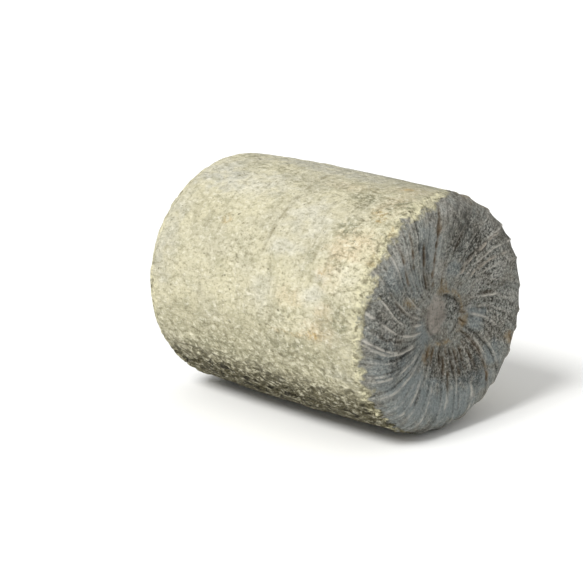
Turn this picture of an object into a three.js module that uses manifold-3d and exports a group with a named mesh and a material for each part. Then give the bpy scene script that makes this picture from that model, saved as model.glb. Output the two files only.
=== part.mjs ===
// A whole blue cheese: a tall drum with a natural rind, lying on its side.
//
// Frame: millimetres, +Z up. The drum's axis runs along X and +X is the end where the moulding cloth was
// gathered. The origin is on the surface that the cheese lies on, under the middle of the drum.
//
// The cheese is one piece. A profile is turned about the axis, each end is creased by the folds of the
// cloth that it was pressed in, the side takes shallow dents, and the drum is flattened where it lies.
import * as THREE from "three";
import { mergeVertices } from "three/addons/utils/BufferGeometryUtils.js";
import Module from "manifold-3d";

// The drum.
const LENGTH = 172; // between the crests of the two ends
const DIAMETER = 134; // at the shoulders
const BELLY = 1.7; // how much wider the radius is halfway along
const SETTLING = 0.024; // share of its height that the soft drum has lost by lying down
const FOOT_DEPTH = 1.0; // how far the flat that it rests on cuts into the round side
const SIDE_RINGS = 6;

// The ends. The gathered end carries the cloth's knot mark and deep folds, the pressed end faint ones.
const GATHERED_END = {
  shoulderDepth: 16, // along the axis
  shoulderWidth: 13.5, // along the radius
  dish: 7, // how far the middle lies behind the crest
  knotRadius: 11,
  knotRise: 1.4,
  foldHeight: 1.5,
  foldSweep: 0.62, // radians that a fold turns between the knot and the rim
  faceRings: 6,
  shoulderRings: 6,
};
const PRESSED_END = {
  shoulderDepth: 13,
  shoulderWidth: 13,
  dish: 2.6,
  knotRadius: 8,
  knotRise: 0.7,
  foldHeight: 0.7,
  foldSweep: -0.4,
  faceRings: 4,
  shoulderRings: 4,
};
const KNOT_TOP = 0.7; // share of the knot's radius that is level
const KNOT_FOOT = 1.3; // where its slope has run out, in knot radii

// The folds.
const FOLDS = 30;
const COLUMNS_PER_FOLD = 4;
const FOLD_RUN_OUT = 9; // how far a fold runs on along the side before it fades
const INNER_FOLD = 0.45; // a fold's height beside the knot, as a share of its height on the shoulder
const FOLD_SHARPNESS = 1.5; // above 1 the long slope of a fold is hollow

// The hand-turned side's shallow dents in millimetres, and in radians how unevenly the folds lie.
const DENT_FADE = 24; // the dents die away over this distance from each end
const DENT_WAVES = [
  { lobes: 2, twist: 3.1, phase: 0.4, size: 0.5 },
  { lobes: 3, twist: -5.3, phase: 1.9, size: 0.35 },
  { lobes: 5, twist: 9.7, phase: 0, size: 0.25 },
];
const FOLD_WAVES = [
  { lobes: 3, twist: 0, phase: 0.6, size: 0.045 },
  { lobes: 7, twist: 0, phase: 2.1, size: 0.025 },
];

const RADIUS = DIAMETER / 2;
const FULL_TURN = 2 * Math.PI;

const smooth = (low, high, value) => THREE.MathUtils.smoothstep(value, low, high);

// The sum of some waves that run round the drum, each twisted by its place along it.
function waveSum(waves, angle, along) {
  const turn = ({ lobes, twist, phase }) => lobes * angle + (twist * along) / LENGTH + phase;
  return waves.reduce((sum, wave) => sum + wave.size * Math.sin(turn(wave)), 0);
}

// Radius of the side at a distance from the middle of the drum.
function sideRadius(along) {
  const share = along / (LENGTH / 2);
  return RADIUS + BELLY * (1 - share * share);
}

// Radii of the rings across an end's face: close together round the knot, then even out to the crest.
function faceRadii(end, crestRadius) {
  const knot = [0, KNOT_TOP * end.knotRadius, end.knotRadius];
  const from = KNOT_FOOT * end.knotRadius;
  const rest = Array.from(
    { length: end.faceRings },
    (_, i) => from + ((crestRadius - from) * i) / end.faceRings,
  );
  return [...knot, ...rest];
}

// Half of the profile, from the middle of an end out to the start of the side, as (radius, distance from
// the drum's middle). The face is a shallow dish with the knot mark standing in it.
function endProfile(end) {
  const crestRadius = RADIUS - end.shoulderWidth;
  const points = faceRadii(end, crestRadius).map((radius) => {
    const dish = (end.dish * (1 + Math.cos((Math.PI * radius) / crestRadius))) / 2;
    const slope = smooth(KNOT_TOP * end.knotRadius, KNOT_FOOT * end.knotRadius, radius);
    return new THREE.Vector2(radius, LENGTH / 2 - dish + end.knotRise * (1 - slope));
  });
  for (let i = 0; i < end.shoulderRings; i++) {
    const turn = (Math.PI / 2) * (i / end.shoulderRings);
    const along = LENGTH / 2 - end.shoulderDepth * (1 - Math.cos(turn));
    const edge = sideRadius(along) - end.shoulderWidth;
    points.push(new THREE.Vector2(edge + end.shoulderWidth * Math.sin(turn), along));
  }
  return points;
}

// The whole profile, from the middle of the pressed end to the middle of the gathered end.
function drumProfile() {
  const flip = (p) => new THREE.Vector2(p.x, -p.y);
  const gathered = endProfile(GATHERED_END);
  const pressed = endProfile(PRESSED_END).map(flip);
  const from = -LENGTH / 2 + PRESSED_END.shoulderDepth;
  const to = LENGTH / 2 - GATHERED_END.shoulderDepth;
  const side = [];
  for (let i = 0; i <= SIDE_RINGS; i++) {
    const along = from + ((to - from) * i) / SIDE_RINGS;
    side.push(new THREE.Vector2(sideRadius(along), along));
  }
  return [...pressed, ...side, ...gathered.reverse()];
}

const endAt = (along) => (along > 0 ? GATHERED_END : PRESSED_END);

// How far a fold has swept round the axis at a radius of an end's face: none at the rim.
function foldSweep(end, radius) {
  const inward = 1 - Math.min(radius / RADIUS, 1);
  return end.foldSweep * inward * (1.6 - 0.6 * inward);
}

// A fold's height over the face, from nothing at the knot to its full height on the shoulder, and back
// to nothing on the side.
function foldStrength(end, along, radius) {
  const pastShoulder = LENGTH / 2 - end.shoulderDepth - Math.abs(along);
  const fade = 1 - smooth(-FOLD_RUN_OUT / 2, FOLD_RUN_OUT, pastShoulder);
  const outward = smooth(end.knotRadius, RADIUS, radius);
  const fromKnot = smooth(end.knotRadius, 2 * end.knotRadius, radius);
  return end.foldHeight * fromKnot * (INNER_FOLD + (1 - INNER_FOLD) * outward) * fade;
}

// The section across one fold, for a share of the way from its crest to the next: a long slope down from
// the crest, and a steep last stretch up to the next.
function foldSection(share) {
  const slope = 1 - 1 / COLUMNS_PER_FOLD;
  return Math.pow(1 - share / slope, FOLD_SHARPNESS);
}

// How far the side stands out at a place by its dents, with none at the ends.
function dent(angle, along) {
  const side = smooth(0, 1, (LENGTH / 2 - Math.abs(along)) / DENT_FADE);
  return side * waveSum(DENT_WAVES, angle, along);
}

// The turned profile with its folds and dents, its axis along X and the drum's middle at the origin.
function creasedDrum() {
  const profile = drumProfile();
  const columns = FOLDS * COLUMNS_PER_FOLD;
  const lathe = new THREE.LatheGeometry(profile, columns);
  const position = lathe.getAttribute("position");
  const normal = lathe.getAttribute("normal");
  for (let column = 0; column <= columns; column++) {
    const even = (FULL_TURN * (column % columns)) / columns;
    const angle = even + waveSum(FOLD_WAVES, even, 0);
    const section = foldSection((column % COLUMNS_PER_FOLD) / COLUMNS_PER_FOLD);
    profile.forEach((point, ring) => {
      const i = column * profile.length + ring;
      const end = endAt(point.y);
      const turned = angle + foldSweep(end, point.x);
      const raised = foldStrength(end, point.y, point.x) * section + dent(turned, point.y);
      // The lathe turned about Y, so its normal's Y share runs along the drum and the rest outwards.
      const outward = Math.hypot(normal.getX(i), normal.getZ(i));
      const onAxis = point.x === 0;
      const radius = onAxis ? 0 : point.x + raised * outward;
      const along = point.y + (onAxis ? 0 : raised * normal.getY(i));
      position.setXYZ(i, along, radius * Math.cos(turned), radius * Math.sin(turned));
    });
  }
  return lathe;
}

// A three.js geometry as a manifold-3d solid, and back.
function solidFrom(wasm, geometry) {
  const bare = geometry.clone();
  bare.deleteAttribute("normal");
  bare.deleteAttribute("uv");
  const closed = mergeVertices(bare, 1e-3);
  return new wasm.Manifold(
    new wasm.Mesh({
      numProp: 3,
      vertProperties: closed.getAttribute("position").array,
      triVerts: new Uint32Array(closed.index.array),
    }),
  );
}

function geometryFrom(solid) {
  const mesh = solid.getMesh();
  const geometry = new THREE.BufferGeometry();
  geometry.setAttribute("position", new THREE.BufferAttribute(mesh.vertProperties, 3));
  geometry.setIndex(new THREE.BufferAttribute(mesh.triVerts, 1));
  geometry.computeVertexNormals();
  return geometry;
}

// The drum settled under its own weight, standing on z = 0 with a flat foot cut along its lowest line.
function settledDrum(wasm) {
  const drum = creasedDrum().scale(1, 1, 1 - SETTLING);
  drum.computeBoundingBox();
  const { min, max } = drum.boundingBox;
  drum.translate(-(min.x + max.x) / 2, -(min.y + max.y) / 2, -min.z - FOOT_DEPTH);
  const below = new THREE.BoxGeometry(2 * LENGTH, 2 * DIAMETER, DIAMETER);
  below.translate(0, 0, -DIAMETER / 2);
  return geometryFrom(solidFrom(wasm, drum).subtract(solidFrom(wasm, below)));
}

const wasm = await Module();
wasm.setup();

const rind = new THREE.MeshStandardMaterial({ color: 0xc4c0a6, roughness: 0.92, metalness: 0 });
const cheese = new THREE.Mesh(settledDrum(wasm), rind);
cheese.name = "cheese";

const part = new THREE.Group();
part.add(cheese);

export default part;
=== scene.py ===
"""A whole blue cheese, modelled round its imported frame.

The cheese is a tall drum with a natural rind, lying on its side with its axis along X. The end at +X is where
the moulding cloth was gathered: its folds turn as they run from a sunken knot mark out to the rim. The end at
-X was pressed flat, and carries fainter folds.

Shapes are worked out in millimetres in the drum's own frame, with its axis along X through the origin.
Angles round the drum run from +Y towards +Z. `DrumFrame` takes its sizes from the CAD node's box, and puts a
shape in the row frame, in metres.
"""

from __future__ import annotations

import logging
import math
from dataclasses import dataclass, field
from enum import Enum
from typing import Any

import bpy
import numpy as np
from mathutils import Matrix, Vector, noise


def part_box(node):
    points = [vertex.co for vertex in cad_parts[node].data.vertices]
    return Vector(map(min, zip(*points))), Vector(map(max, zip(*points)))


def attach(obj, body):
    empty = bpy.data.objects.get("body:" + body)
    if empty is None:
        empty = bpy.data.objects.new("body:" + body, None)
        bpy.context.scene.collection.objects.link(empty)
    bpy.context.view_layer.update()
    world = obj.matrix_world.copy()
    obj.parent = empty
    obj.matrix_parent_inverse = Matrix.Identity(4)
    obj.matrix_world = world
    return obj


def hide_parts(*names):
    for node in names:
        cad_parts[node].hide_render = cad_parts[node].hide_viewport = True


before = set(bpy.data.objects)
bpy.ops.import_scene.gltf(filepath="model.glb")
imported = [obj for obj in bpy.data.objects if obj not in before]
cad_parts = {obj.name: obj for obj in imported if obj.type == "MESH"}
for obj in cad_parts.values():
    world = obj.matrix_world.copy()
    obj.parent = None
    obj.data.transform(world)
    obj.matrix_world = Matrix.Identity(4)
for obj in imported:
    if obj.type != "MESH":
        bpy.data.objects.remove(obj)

LOG = logging.getLogger("blue_cheese")
MM = 0.001
FULL_TURN = 2 * math.pi
CAD_NODE = "cheese"
FLOW = "flow"  # the vector on the mesh that runs along the folds

# The mark of the knot, in knot radii: where its top ends, where its slope has run out, and where the close
# rows of points round it end.
KNOT_TOP = 0.85
KNOT_FOOT = 1.25
KNOT_ROWS_END = 1.35


def smooth(low: float, high: float, value: Any) -> Any:
    """Steps softly from 0 to 1.

    Args:
        low: Where the step begins.
        high: Where it ends. It may be the lower of the two.
        value: A number or an array of them.

    Returns:
        0 before `low`, 1 past `high`, and an even S curve between them.
    """
    share = np.clip((value - low) / (high - low), 0.0, 1.0)
    return share * share * (3 - 2 * share)


BELL_WIDTH = 1.665  # a bell's width at half height, as a multiple of the width that `bell` takes


def bell(distance: Any, width: float) -> Any:
    """Returns 1 at no distance, falling to a third at `width`."""
    return np.exp(-((distance / width) ** 2))


def turned(angle: np.ndarray, line: Any) -> np.ndarray:
    """Returns how far each angle is past a line, in radians from -pi to pi."""
    return (angle - line + math.pi) % FULL_TURN - math.pi


def grain(points: np.ndarray, size: float, octaves: int = 3, shift: float = 0.0) -> np.ndarray:
    """Samples lumpy noise about zero.

    Args:
        points: Places in millimetres, one row each.
        size: How far across a lump is, in millimetres.
        octaves: How many finer layers it holds.
        shift: Moves the pattern, so that two fields of one size differ.

    Returns:
        One value for each place, mostly between -1 and 1.
    """
    places = points / size + shift
    return np.fromiter((noise.fractal(Vector(p), 1.0, 2.0, octaves) for p in places), float, len(places))


@dataclass(frozen=True)
class Sector:
    """A stretch round the drum where something is stronger.

    Attributes:
        angle: Its middle, in degrees.
        spread: How far it reaches each way, in degrees.
        strength: What it adds there.
    """

    angle: float
    spread: float
    strength: float


def total(sectors: tuple[Sector, ...], angle: Any) -> Any:
    """Adds up what sectors give.

    Args:
        sectors: The sectors.
        angle: An angle round the drum or an array of them, in radians.

    Returns:
        Their sum at each angle, or 0 where there are none.
    """
    return sum(
        sector.strength * bell(turned(angle, math.radians(sector.angle)), math.radians(sector.spread))
        for sector in sectors
    )


@dataclass(frozen=True)
class Folds:
    """How the cloth's folds cross one end.

    Attributes:
        ridge: Height of the thin ridge that a bold fold leaves, in millimetres.
        ridge_width: Its width at half height.
        nub: Height of each ridge where it rounds the rim.
        scallop: How far the rim falls back between two ridges.
        step: How far a panel between two ridges has dropped where it meets the next ridge.
        groove: Depth of the crease at the foot of that step.
        sweep: Radians that a fold turns between the knot and the rim.
        swerve: Where the folds turn by more or less than that, in radians.
        unevenness: How far a fold strays from its even place, as a share of the spacing.
        spread: How much wider than usual the spacing is on one side, as a share. It is as much narrower
            opposite.
        wide: Where the spacing is widest, in degrees.
        run_out: How far a fold runs on along the side.
        seed: Starts the random draws for this end.
        plain: How bold a fold is outside the sectors.
        rim: Where the nubs and the scallops are bolder.
        bold: Where the ridges are bolder.
        twin: Where each ridge has a second one beside it.
        creased: Where the creases are deeper.
    """

    ridge: float
    ridge_width: float
    nub: float
    scallop: float
    step: float
    groove: float
    sweep: float
    swerve: tuple[Sector, ...]
    unevenness: float
    spread: float
    wide: float
    run_out: float
    seed: int
    plain: float
    rim: tuple[Sector, ...]
    bold: tuple[Sector, ...]
    twin: tuple[Sector, ...]
    creased: tuple[Sector, ...]


@dataclass(frozen=True)
class DrumEnd:
    """One end of the drum, in millimetres.

    Attributes:
        shoulder_depth: The rounded shoulder's size along the axis.
        shoulder_width: The same along the radius.
        dish: How far the middle lies behind the crest.
        knot_radius: Radius of the mark that the cloth's knot left.
        knot_rise: How far that mark stands out of the dish.
        knot_rings: Rows of points across the knot mark.
        face_rings: Rows from there to the crest.
        shoulder_rings: Rows over the shoulder.
        mould_reach: Where the grey mould runs further along the side than elsewhere, or less far.
        folds: The folds on this end.
    """

    shoulder_depth: float
    shoulder_width: float
    dish: float
    knot_radius: float
    knot_rise: float
    knot_rings: int
    face_rings: int
    shoulder_rings: int
    mould_reach: tuple[Sector, ...]
    folds: Folds


GATHERED = DrumEnd(
    shoulder_depth=16.0,
    shoulder_width=13.5,
    dish=7.0,
    knot_radius=12.5,
    knot_rise=0.9,
    knot_rings=16,
    face_rings=36,
    shoulder_rings=24,
    mould_reach=(Sector(65, 15, 16.0), Sector(25, 28, 6.0), Sector(272, 32, 7.5), Sector(325, 25, 4.0)),
    folds=Folds(
        ridge=1.0,
        ridge_width=1.25,
        nub=0.5,
        scallop=1.0,
        step=0.35,
        groove=0.55,
        sweep=0.6,
        swerve=(Sector(236, 45, -0.55),),
        unevenness=0.22,
        spread=0.12,
        wide=330.0,
        run_out=6.0,
        seed=11,
        plain=0.2,
        rim=(Sector(325, 55, 1.0),),
        bold=(Sector(166, 26, 0.8), Sector(34, 15, 0.8), Sector(325, 30, 0.3)),
        twin=(Sector(170, 18, 0.7),),
        creased=(Sector(105, 26, 0.9), Sector(250, 34, 0.55), Sector(300, 20, 0.6), Sector(180, 30, 0.6)),
    ),
)
PRESSED = DrumEnd(
    shoulder_depth=13.0,
    shoulder_width=13.0,
    dish=2.6,
    knot_radius=8.0,
    knot_rise=0.7,
    knot_rings=6,
    face_rings=20,
    shoulder_rings=13,
    mould_reach=(Sector(140, 50, -4.0), Sector(285, 50, 6.0), Sector(20, 25, 4.0)),
    folds=Folds(
        ridge=0.35,
        ridge_width=1.9,
        nub=0.12,
        scallop=0.0,
        step=0.2,
        groove=0.2,
        sweep=-0.4,
        swerve=(),
        unevenness=0.25,
        spread=0.1,
        wide=90.0,
        run_out=4.0,
        seed=23,
        plain=0.16,
        rim=(),
        bold=(Sector(70, 40, 0.35), Sector(250, 30, 0.35), Sector(150, 20, 0.2)),
        twin=(),
        creased=(Sector(160, 40, 0.6), Sector(330, 30, 0.5)),
    ),
)


@dataclass(frozen=True)
class DrumFrame:
    """The drum's sizes in millimetres, and where it lies in the row frame.

    Attributes:
        half_length: From the middle of the drum to the crest of an end.
        radius: At the shoulders.
        belly: How much wider the radius is halfway along.
        squash: Height over width of the settled drum.
        height: Of the axis over the surface that the cheese lies on.
        middle: Where the middle of the drum is along X.
    """

    half_length: float
    radius: float
    belly: float
    squash: float
    height: float
    middle: float

    BELLY = 1.7
    FOLD_STAND = 1.0  # how far the CAD drum's folds stand out past each crest
    DENT_STAND = 0.6  # how far its side's waves stand out of the belly
    FOOT_DEPTH = 1.0  # how far its flat foot cuts into the round side

    @classmethod
    def from_cad(cls, low: Vector, high: Vector) -> DrumFrame:
        """Works the sizes out from the CAD node's box.

        Args:
            low: The box's lowest corner, in metres.
            high: Its highest corner.

        Returns:
            The drum's sizes.
        """
        length, width, height = ((high - low) / MM)[:]
        belly_radius = width / 2 - cls.DENT_STAND
        return cls(
            half_length=length / 2 - cls.FOLD_STAND,
            radius=belly_radius - cls.BELLY,
            belly=cls.BELLY,
            squash=(height + cls.FOOT_DEPTH) / (2 * belly_radius),
            height=(height + cls.FOOT_DEPTH) / 2 - cls.FOOT_DEPTH,
            middle=(low.x + high.x) / (2 * MM),
        )

    def side_radius(self, along: Any) -> Any:
        """Returns the side's radius at a distance from the middle of the drum."""
        return self.radius + self.belly * (1 - (along / self.half_length) ** 2)

    def place(self, points: np.ndarray) -> np.ndarray:
        """Puts points of the drum's own frame in the row frame.

        Args:
            points: Places in millimetres, one row each.

        Returns:
            The same places in metres, settled and resting on z = 0.
        """
        placed = points * (1.0, 1.0, self.squash) + (self.middle, 0.0, self.height)
        placed[:, 2] = self.rest_on_floor(placed[:, 2])
        return placed * MM

    @staticmethod
    def rest_on_floor(height: np.ndarray) -> np.ndarray:
        """Flattens what lies under the floor on to it, with a soft edge of half a millimetre."""
        edge = 0.25
        return np.where(height > 0, np.hypot(height, edge) / 2 + height / 2, edge / 2) - edge / 2


@dataclass(frozen=True)
class Outline:
    """Half of the drum's section, turned into the drum.

    Attributes:
        along: Distance from the middle of the drum, one for each ring.
        radius: Distance from the axis.
        normal: Outward direction of each ring as (along, outward).
    """

    along: np.ndarray
    radius: np.ndarray
    normal: np.ndarray

    SIDE_RINGS = 114

    @classmethod
    def of(cls, size: DrumFrame) -> Outline:
        """Draws the section from the middle of the pressed end to the middle of the gathered end."""
        pressed = cls.half(size, PRESSED) * (-1, 1)
        gathered = cls.half(size, GATHERED)[::-1]
        first, last = PRESSED.shoulder_depth - size.half_length, size.half_length - GATHERED.shoulder_depth
        side = np.linspace(first, last, cls.SIDE_RINGS)
        points = np.vstack([pressed, np.column_stack([side, size.side_radius(side)]), gathered])
        tangent = np.gradient(points, axis=0)
        tangent /= np.linalg.norm(tangent, axis=1, keepdims=True)
        normal = np.column_stack([-tangent[:, 1], tangent[:, 0]])
        normal[[0, -1]] = ((-1.0, 0.0), (1.0, 0.0))
        return cls(points[:, 0], points[:, 1], normal)

    @staticmethod
    def half(size: DrumFrame, end: DrumEnd) -> np.ndarray:
        """Draws one end, from its middle out to the start of the side, as if it faced +X.

        Args:
            size: The drum's sizes.
            end: The end to draw.

        Returns:
            One row of (along, radius) for each ring.
        """
        crest = size.radius - end.shoulder_width
        foot = KNOT_ROWS_END * end.knot_radius
        knot = np.linspace(0, foot, end.knot_rings, endpoint=False)
        face = np.linspace(foot, crest, end.face_rings, endpoint=False)
        radius = np.concatenate([knot, face])
        dish = end.dish * (1 + np.cos(np.pi * radius / crest)) / 2
        rise = end.knot_rise * (1 - smooth(KNOT_TOP * end.knot_radius, KNOT_FOOT * end.knot_radius, radius))
        turn = np.linspace(0, np.pi / 2, end.shoulder_rings, endpoint=False)
        along = size.half_length - end.shoulder_depth * (1 - np.cos(turn))
        edge = size.side_radius(along) - end.shoulder_width * (1 - np.sin(turn))
        return np.vstack(
            [np.column_stack([size.half_length - dish + rise, radius]), np.column_stack([along, edge])]
        )


@dataclass(frozen=True)
class Patch:
    """A patch of growth on the drum.

    Attributes:
        place: Where its middle is, in millimetres: along the drum from its middle for a patch of the side,
            and out from the axis for one of an end.
        angle: Where it is round the drum, in degrees.
        length: Half of its size along the drum, or along the radius.
        breadth: Half of its size round the drum.
        strength: How strongly it shows, from 0 to 1.
    """

    place: float
    angle: float
    length: float
    breadth: float
    strength: float = 1.0


@dataclass(frozen=True)
class Seam:
    """A crease or a ridge along a fold of the gathered end.

    Attributes:
        angle: Where the fold meets the rim, in degrees.
        inner: The seam's inner end's distance from the axis, in millimetres.
        outer: Its outer end's distance.
        depth: How deep it is, or below 0, how high.
        brown: How brown it is, from 0 to 1.
    """

    angle: float
    inner: float
    outer: float
    depth: float
    brown: float


@dataclass(frozen=True)
class Arc:
    """A crease or a crusted lip round the mark of the knot.

    Attributes:
        angle: Its middle, in degrees.
        spread: How far it reaches each way, in degrees.
        radius: Its distance from the axis, in millimetres.
        width: Half of its width.
        depth: How deep it is, or below 0, how high.
    """

    angle: float
    spread: float
    radius: float
    width: float
    depth: float


class Mask(Enum):
    """What the finish reads from the mesh: how strongly a growth, a mark or painted shade shows at a point,
    from 0 to about 1.

    The depth is in millimetres instead: how far into the grey mould a point lies, and below 0 on the rind.
    """

    DEPTH = "mould_depth"
    RIDGE = "ridge"
    CREASE = "crease"
    UNDERSIDE = "underside"
    FRINGE = "fringe"
    HAIRLINE = "hairline"
    KNOT = "knot"
    CRACK = "crack"
    STAIN = "brown_stain"
    PEACH = "peach_bloom"
    OCHRE = "ochre_bloom"
    GREEN = "green_mould"
    BLUE = "blue_bloom"
    CRUST = "rough_crust"
    VEIL_AND_LOWER_SHADE = "olive_veil_and_lower_shade"
    SLATE = "slate_bloom"
    STIPPLE = "stipple"
    TAN = "tan_crust"
    CHALK = "chalk_bloom"
    FUZZ = "pale_fuzz"
    SMUDGE = "dark_smudge"


def rows(kind: type, *numbers: tuple[float, ...]) -> tuple[Any, ...]:
    """Makes one of a kind from each row of numbers, which are its attributes in their order."""
    return tuple(kind(*row) for row in numbers)


SIDE_GROWTHS: dict[Mask, tuple[Patch, ...]] = {
    Mask.PEACH: rows(
        Patch,
        (60, 95, 12, 8, 0.6), (60, 139, 15, 12, 0.9), (64, 109, 9, 10, 0.7), (54, 154, 9, 8, 0.7),
        (55, 172, 7, 7, 0.7), (52, 181, 12, 6, 0.9), (30, 168, 10, 6, 0.5), (28, 104, 20, 5, 0.4),
        (-20, 60, 12, 10, 0.5), (-46, 318, 16, 12, 0.7), (20, 340, 14, 12, 0.7), (62, 10, 14, 12, 0.7),
        (-66, 30, 12, 12, 0.6),
    ),
    Mask.OCHRE: rows(
        Patch,
        (65, 121, 5, 5), (60, 118, 4, 3, 0.8), (48, 182, 6, 3), (36, 184, 18, 1.5, 0.7),
        (49, 154, 3, 3, 0.9), (-32, 139, 4, 3, 0.7), (58, 94, 5, 2.5, 0.8), (76, 128, 3, 5, 0.7),
        (76, 143, 3, 4, 0.7), (40, 30, 6, 4), (-50, 350, 6, 4), (10, 300, 5, 4),
    ),
    Mask.GREEN: rows(
        Patch,
        (46, 110, 10, 6, 0.9), (51, 130, 8, 6, 1.0), (65, 117, 4, 9, 0.9), (67, 173, 5, 7, 1.0),
        (78, 121, 3, 5, 0.9), (78, 190, 3, 8, 0.9), (6, 108, 26, 7, 0.4), (70, 108, 8, 5, 0.9),
        (62, 76, 16, 9, 0.6), (36, 148, 8, 5, 0.4), (25, 176, 7, 5, 0.5), (30, 192, 26, 6, 0.6),
        (20, 105, 16, 4, 0.5), (-46, 104, 18, 8, 0.4), (-20, 205, 30, 8, 0.6), (78, 150, 3, 40, 0.5),
        (30, 350, 12, 9, 0.9), (-30, 20, 14, 10, 0.8), (60, 320, 12, 10, 0.9), (-64, 90, 8, 10, 0.5),
    ),
    Mask.BLUE: rows(
        Patch,
        (14, 68, 70, 16), (0, 86, 60, 12, 0.6), (-14, 73, 16, 4, 0.6), (8, 80, 16, 4, 0.6),
        (30, 89, 16, 4, 0.5), (62, 200, 12, 5, 0.5), (64, 70, 22, 16), (-56, 70, 28, 12, 0.9),
        (-58, 116, 16, 12, 0.4), (-72, 150, 10, 30, 0.4), (0, 20, 40, 12, 0.6), (-30, 330, 26, 12, 0.6),
    ),
    Mask.CRUST: rows(
        Patch,
        (0, 205, 90, 18), (50, 112, 16, 12, 0.9), (66, 140, 16, 36, 0.8), (24, 180, 26, 10, 0.6),
        (12, 118, 10, 6, 0.5), (-30, 100, 20, 8, 0.5), (-10, 150, 14, 10, 0.5), (0, 340, 80, 30, 0.7),
        (-50, 40, 30, 30, 0.6), (50, 30, 20, 26, 0.8),
    ),
    Mask.CHALK: rows(
        Patch,
        (-40, 114, 34, 13, 0.8), (22, 130, 19, 14, 0.7), (18, 146, 14, 6, 0.8), (46, 165, 8, 6, 0.9),
        (-66, 107, 16, 12, 0.8), (49, 156, 5, 4, 0.8), (-14, 76, 24, 5, 0.7), (10, 168, 10, 9, 0.5),
        (66, 152, 8, 6, 0.6), (30, 320, 24, 14, 0.6), (-40, 0, 24, 14, 0.6),
    ),
    # The olive veil is partly growth, in patches, and partly painted shade: its long bands at 195 and 345
    # degrees darken the side where it turns down to the paper.
    Mask.VEIL_AND_LOWER_SHADE: rows(
        Patch,
        (56, 68, 40, 24), (58, 98, 26, 22, 0.7), (10, 195, 110, 17), (66, 178, 16, 16, 0.7),
        (0, 62, 100, 12, 0.4), (0, 345, 110, 16), (40, 20, 20, 20, 0.6),
    ),
}

END_GROWTHS: dict[Mask, tuple[Patch, ...]] = {
    Mask.SLATE: rows(
        Patch,
        (50, 232, 16, 26), (50, 270, 13, 26, 0.95), (55, 200, 9, 20, 0.7), (21, 203, 6, 9, 0.8),
        (36, 214, 12, 9, 0.5), (27, 344, 5, 6, 0.8), (50, 305, 8, 8, 0.7), (27, 80, 5, 7, 0.7),
        (40, 140, 12, 8, 0.5), (46, 115, 14, 9, 0.6), (25, 347, 7, 7, 0.9), (45, 320, 9, 8, 0.8),
        (53, 145, 9, 9, 0.6),
    ),
    Mask.FUZZ: rows(
        Patch,
        (57, 137, 9, 10, 0.8), (28, 106, 9, 6, 0.8), (40, 112, 12, 5, 0.7), (55, 56, 8, 10, 0.8),
        (46, 30, 10, 8, 0.7), (60, 92, 7, 16, 0.7), (50, 104, 8, 8, 0.6), (52, 0, 8, 8, 0.6),
        (25, 150, 8, 6, 0.5), (57, 214, 6, 10, 0.5), (30, 30, 8, 5, 0.5), (57, 240, 7, 12, 0.4),
        (46, 228, 7, 7, 0.4),
    ),
    Mask.SMUDGE: rows(
        Patch,
        (49, 82, 13, 12), (43, 70, 9, 10, 0.9), (35, 66, 7, 6, 0.7), (41, 300, 10, 9, 0.8),
        (33, 284, 10, 8, 0.7), (47, 121, 10, 3, 0.8), (24, 250, 8, 12, 0.5), (50, 203, 6, 8, 0.5),
        (38, 196, 8, 6, 0.5), (61, 172, 6, 16, 0.6), (40, 12, 10, 5, 0.4), (58, 38, 8, 8, 0.4),
    ),
    Mask.STIPPLE: rows(
        Patch,
        (40, 50, 17, 30), (34, 300, 13, 26, 0.95), (40, 350, 18, 22, 0.8), (40, 87, 7, 7),
        (48, 182, 12, 24, 0.95), (36, 160, 12, 12, 0.6), (30, 255, 12, 16, 0.75), (9, 20, 6, 9, 0.95),
        (58, 20, 7, 40, 0.5), (58, 165, 6, 20, 0.6),
    ),
    Mask.TAN: rows(
        Patch,
        (17, 338, 4, 5, 0.8), (37, 157, 6, 3, 0.7), (24, 229, 7, 4, 0.5), (58, 337, 7, 4, 0.8),
        (16, 95, 5, 4, 0.5), (69, 62, 5, 18, 0.5),
    ),
}

SEAMS: tuple[Seam, ...] = rows(
    Seam,
    (94, 52, 64, 1.5, 1.0), (92, 22, 60, 0.8, 1.0), (106, 17, 44, 1.0, 0.4), (106, 38, 55, 1.8, 0.9),
    (118, 46, 64, 0.8, 1.0), (127, 38, 62, 0.7, 0.8), (146, 30, 60, 0.6, 0.3), (171, 36, 63, 0.9, 0.2),
    (182, 26, 66, -1.0, 0.0), (186, 22, 64, 0.6, 0.0), (200, 28, 66, -0.8, 0.0), (212, 34, 66, -0.8, 0.0),
    (225, 17, 31, 0.6, 0.8), (230, 36, 66, -0.8, 0.0), (238, 17, 29, 0.6, 0.9), (245, 38, 66, -0.8, 0.0),
    (252, 17, 30, 0.9, 0.4), (257, 17, 36, 0.8, 0.6), (261, 40, 62, -0.7, 0.0), (262, 15, 46, 1.4, 0.7),
    (268, 18, 36, 0.9, 0.3), (273, 20, 38, 0.9, 0.6), (280, 22, 40, 0.8, 0.4), (282, 44, 64, -0.6, 0.0),
    (288, 20, 42, 0.8, 0.4), (297, 16, 50, 0.7, 0.4), (297, 44, 58, 0.4, 0.9), (300, 26, 46, -0.7, 0.0),
    (328, 50, 63, 0.8, 1.0), (310, 13, 22, 1.0, 0.9), (326, 13, 20, 0.9, 0.9), (349, 20, 44, -0.6, 0.0),
    (352, 24, 40, 0.6, 0.3), (22, 24, 56, -0.9, 0.3), (38, 22, 60, -1.1, 0.3), (41, 26, 44, 0.8, 0.2),
    (66, 38, 52, 0.9, 0.2), (74, 16, 34, 0.6, 0.5),
)

KNOT_ARCS: tuple[Arc, ...] = rows(
    Arc,
    (63, 36, 11.4, 0.8, 1.2), (60, 40, 13.9, 1.3, -0.9), (266, 26, 15.4, 1.5, -0.8),
    (182, 30, 13.4, 0.6, 0.6), (240, 34, 13.2, 0.7, 0.45), (320, 26, 12.4, 0.8, 0.6),
    (10, 16, 12.6, 0.7, 0.5), (20, 24, 14.4, 1.0, -0.5),
)


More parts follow.
